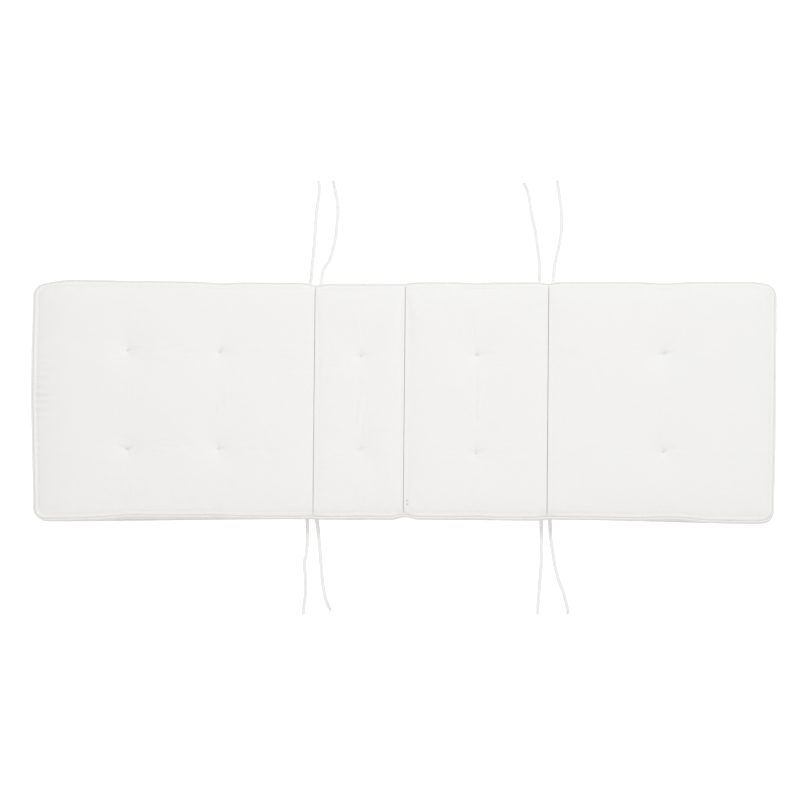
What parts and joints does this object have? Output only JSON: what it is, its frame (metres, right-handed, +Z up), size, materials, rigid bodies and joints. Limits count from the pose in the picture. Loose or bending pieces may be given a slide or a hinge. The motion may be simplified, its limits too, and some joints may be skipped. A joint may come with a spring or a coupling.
{
  "type": "sun lounger cushion",
  "caption": "Long boxed and piped cushion for a steamer lounger, sewn across into folding sections, with stitched tufts and tie tapes, lying flat.",
  "frame": {"origin": "middle of the bottom, on the surface that the cushion lies on; the tie tapes aren't counted", "axes": "+X along the length towards the leg rest section, +Y to the far side, +Z up through the thickness"},
  "size_m": [1.5001, 0.8784, 0.0565],
  "materials": {
    "cover": "off-white woven canvas, matt",
    "piping": "the same canvas over a thin cord",
    "tape": "narrow woven tape, matt"
  },
  "bodies": {
    "root": {"cushion": "cover", "piping_top": "piping", "piping_bottom": "piping", "tie_back_far_left": "tape", "tie_back_far_right": "tape", "tie_back_near_left": "tape", "tie_back_near_right": "tape", "tie_leg_far_left": "tape", "tie_leg_far_right": "tape", "tie_leg_near_left": "tape", "tie_leg_near_right": "tape"}
  },
  "joints": []
}
